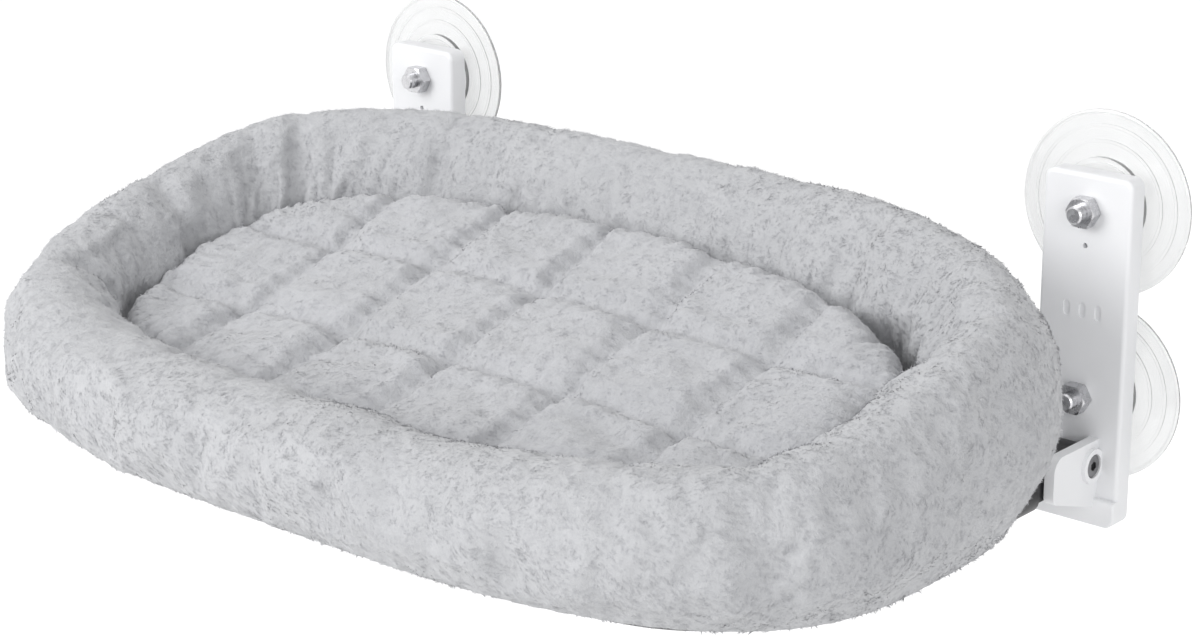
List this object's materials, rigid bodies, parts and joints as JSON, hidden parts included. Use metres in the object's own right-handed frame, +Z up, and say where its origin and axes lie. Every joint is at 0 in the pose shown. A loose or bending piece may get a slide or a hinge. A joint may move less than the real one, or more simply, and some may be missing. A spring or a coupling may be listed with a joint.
{
  "type": "window-mounted cat bed",
  "caption": "Window cat perch: an oval plush nest on a folding tube frame, hung from a pane by two hinged brackets with clear suction cups.",
  "frame": {"origin": "on the room side of the window glass, in the middle of the four suction cups", "axes": "+X along the window towards the right bracket as seen from the room, +Y outwards through the glass, +Z up"},
  "size_m": [0.528, 0.3341, 0.1875],
  "materials": {
    "bracket_plastic": "fine satin moulded ABS, light grey",
    "cup_pvc": "clear flexible PVC, glossy, faint grey tint",
    "bright_steel": "bright zinc plate, lightly worn",
    "dark_steel": "black oxide, satin",
    "tube_paint": "satin black powder coat",
    "bush_nylon": "natural nylon, smooth",
    "sling_cloth": "plain woven polyester, matt black",
    "base_cloth": "plain woven polyester, matt grey",
    "wall_plush": "short pile plush, soft light grey",
    "mat_plush": "short pile plush, soft pale grey",
    "strap_cloth": "woven hook and loop tape, matt black"
  },
  "bodies": {
    "brackets": {"left_bracket": "bracket_plastic", "right_bracket": "bracket_plastic", "upper_left_suction_cup": "cup_pvc", "upper_right_suction_cup": "cup_pvc", "lower_left_suction_cup": "cup_pvc", "lower_right_suction_cup": "cup_pvc", "cup_studs": "bright_steel", "cup_nuts": "bright_steel", "hinge_bolts": "dark_steel", "hinge_lock_nuts": "bright_steel"},
    "bed": {"left_hinge_arm": "tube_paint", "right_hinge_arm": "tube_paint", "hinge_bushes": "bush_nylon", "left_frame_half": "tube_paint", "right_frame_half": "tube_paint", "rear_cross_tube": "tube_paint", "tube_screws": "dark_steel", "sling_panel": "sling_cloth", "sling_sleeves": "sling_cloth", "nest_base_cloth": "base_cloth", "plush_wall": "wall_plush", "seat_mat": "mat_plush", "tie_straps": "strap_cloth"}
  },
  "joints": [
    {"name": "bed_fold", "type": "hinge", "parent": "brackets", "child": "bed", "pos_m": [0, -0.0235, -0.07175], "axis": [-1, 0, 0], "range_deg": [0, 70], "deforming": ["plush_wall", "seat_mat"]}
  ]
}
